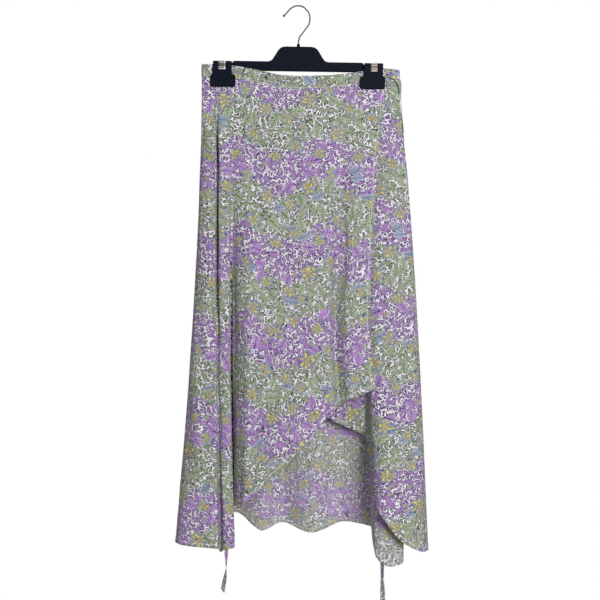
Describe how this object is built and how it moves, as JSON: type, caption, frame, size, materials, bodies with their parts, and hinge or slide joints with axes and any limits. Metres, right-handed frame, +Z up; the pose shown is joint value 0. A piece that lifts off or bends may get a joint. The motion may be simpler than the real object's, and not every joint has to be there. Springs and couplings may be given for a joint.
{
  "type": "wrap skirt on a clip hanger",
  "caption": "Midi wrap skirt with crossed tulip fronts and a dipped back, hung flat by its waistband from a clip hanger.",
  "frame": {"origin": "where the inside of the hook bears on the rail or peg that holds it", "axes": "+Z up; +X to the right of someone who faces the skirt's front; -Y out of the front"},
  "size_m": [0.4552, 0.1332, 1.0908],
  "materials": {
    "skirt_cloth": "matte printed viscose",
    "waistband_cloth": "matte printed viscose",
    "tie_cloth": "matte printed viscose",
    "hanger_plastic": "fine matte moulding",
    "spring_steel": "bright rolled strip",
    "hook_wire": "bright plated wire"
  },
  "bodies": {
    "root": {"front_overlap": "skirt_cloth", "front_underlap": "skirt_cloth", "back_panel": "skirt_cloth", "waistband": "waistband_cloth", "tie_left": "tie_cloth", "tie_right": "tie_cloth", "hanger_body": "hanger_plastic", "jaw_left": "hanger_plastic", "jaw_right": "hanger_plastic", "spring_left": "spring_steel", "spring_right": "spring_steel", "hook": "hook_wire"}
  },
  "joints": []
}
